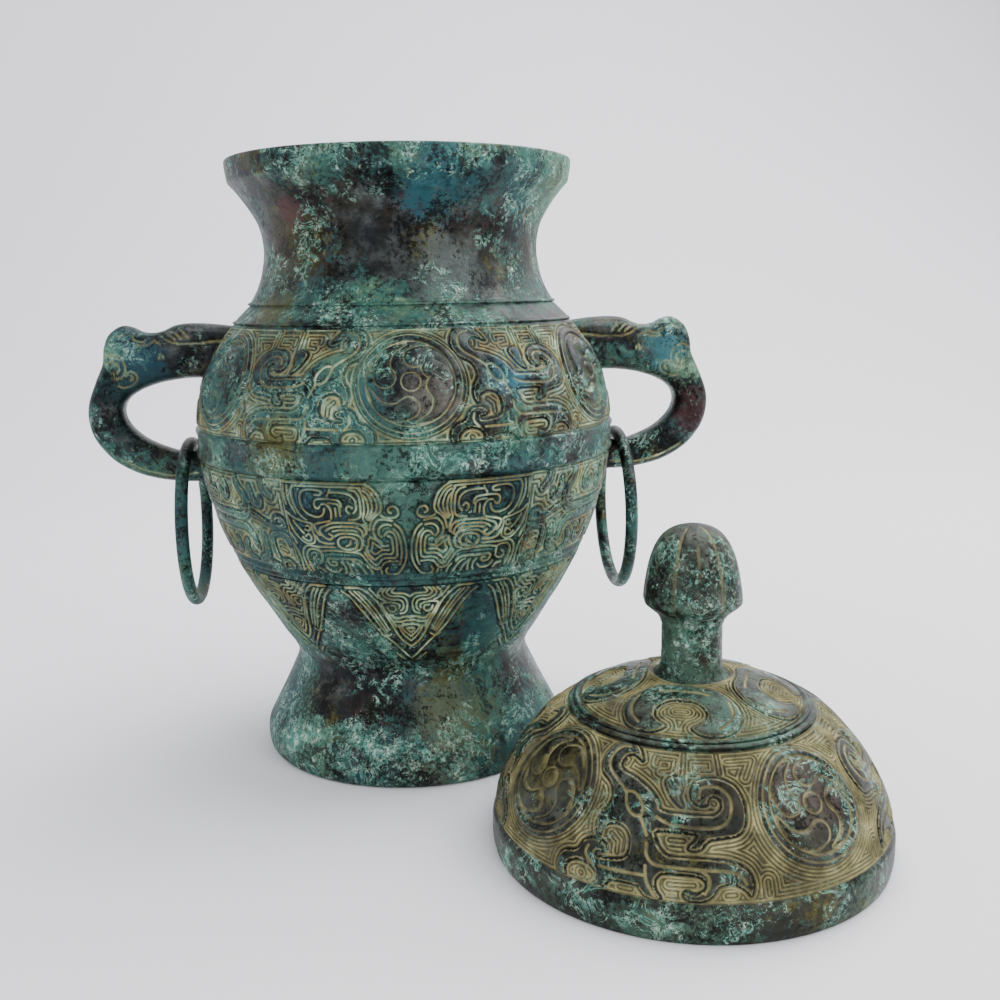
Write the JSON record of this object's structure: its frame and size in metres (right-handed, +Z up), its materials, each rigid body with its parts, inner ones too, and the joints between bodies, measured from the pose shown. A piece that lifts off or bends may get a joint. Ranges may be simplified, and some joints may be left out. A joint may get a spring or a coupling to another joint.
{
  "type": "lidded bronze ritual jar",
  "caption": "Round-bellied bronze jar on a flared foot, with beast-head loop handles that hold loose rings, and its domed lid with a knob set down beside it.",
  "frame": {"origin": "on the ground, under the middle of the box that holds the jar and the lid beside it", "axes": "+X from the left handle to the right handle, +Y from the front of the jar to its back, +Z up"},
  "size_m": [0.361, 0.3332, 0.3],
  "materials": {
    "jar_bronze": "cast bronze with a dark blue-green patina and ochre earth in the grooves",
    "lid_bronze": "cast bronze with an olive brown patina and ochre earth in the grooves",
    "ring_bronze": "cast bronze with a mottled green patina"
  },
  "bodies": {
    "jar": {"jar": "jar_bronze", "lid": "lid_bronze"},
    "ring_left": {"ring_left": "ring_bronze"},
    "ring_right": {"ring_right": "ring_bronze"}
  },
  "joints": [
    {"name": "ring_left_swing", "type": "hinge", "parent": "jar", "child": "ring_left", "pos_m": [-0.13075, 0.0596, 0.1497], "axis": [1, 0, 0], "range_deg": [-80, 80]},
    {"name": "ring_right_swing", "type": "hinge", "parent": "jar", "child": "ring_right", "pos_m": [0.09165, 0.0596, 0.1497], "axis": [1, 0, 0], "range_deg": [-80, 80]}
  ]
}
